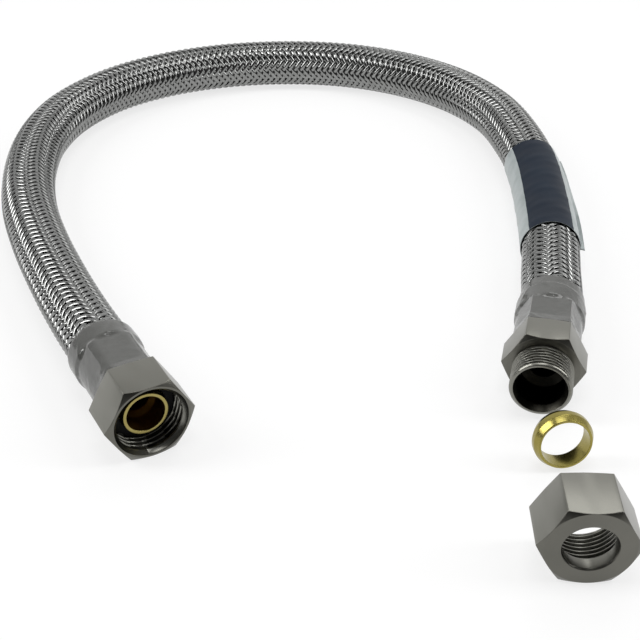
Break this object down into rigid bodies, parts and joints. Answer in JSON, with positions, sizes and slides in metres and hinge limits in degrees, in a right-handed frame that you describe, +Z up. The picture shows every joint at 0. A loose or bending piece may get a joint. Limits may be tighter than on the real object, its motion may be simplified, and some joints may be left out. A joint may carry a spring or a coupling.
{
  "type": "braided faucet hose",
  "caption": "Braided stainless faucet hose, 24 inch, with a swivel nut at one end and a male compression fitting at the other, its brass sleeve and nut lying loose.",
  "frame": {"origin": "middle of the whole part's box, on the floor", "axes": "+Z up from the floor that the hose lies on; +Y from the open ends of the hose towards its loop; +X from the swivel end towards the compression end"},
  "size_m": [0.2043, 0.3064, 0.0222],
  "materials": {
    "stainless_braid": "bright drawn stainless wire, plaited",
    "inner_tube": "smooth extruded tube",
    "brass": "turned brass, warm and slightly dull",
    "sleeve_brass": "bright turned yellow brass",
    "rubber": "matt black moulded rubber",
    "nickel_plate": "satin nickel plate over brass",
    "crimped_steel": "drawn and crimped stainless sheet",
    "clear_film": "clear shrunk plastic, a little creased",
    "label_film": "printed film, navy field between silver-grey edges"
  },
  "bodies": {
    "hose": {"braid_sleeve": "stainless_braid", "inner_tube": "inner_tube", "swivel_stem": "brass", "seat_washer": "rubber", "swivel_ferrule": "crimped_steel", "male_ferrule": "crimped_steel", "swivel_film": "clear_film", "male_film": "clear_film", "male_fitting": "nickel_plate", "label_wrap": "label_film", "compression_sleeve": "sleeve_brass", "compression_nut": "nickel_plate"},
    "swivel_nut": {"swivel_nut": "nickel_plate"}
  },
  "joints": [
    {"name": "swivel_nut_turn", "type": "hinge", "parent": "hose", "child": "swivel_nut", "pos_m": [-0.03362, -0.1012, 0.0111], "axis": [0.4802, -0.8771, 0], "continuous": true}
  ]
}
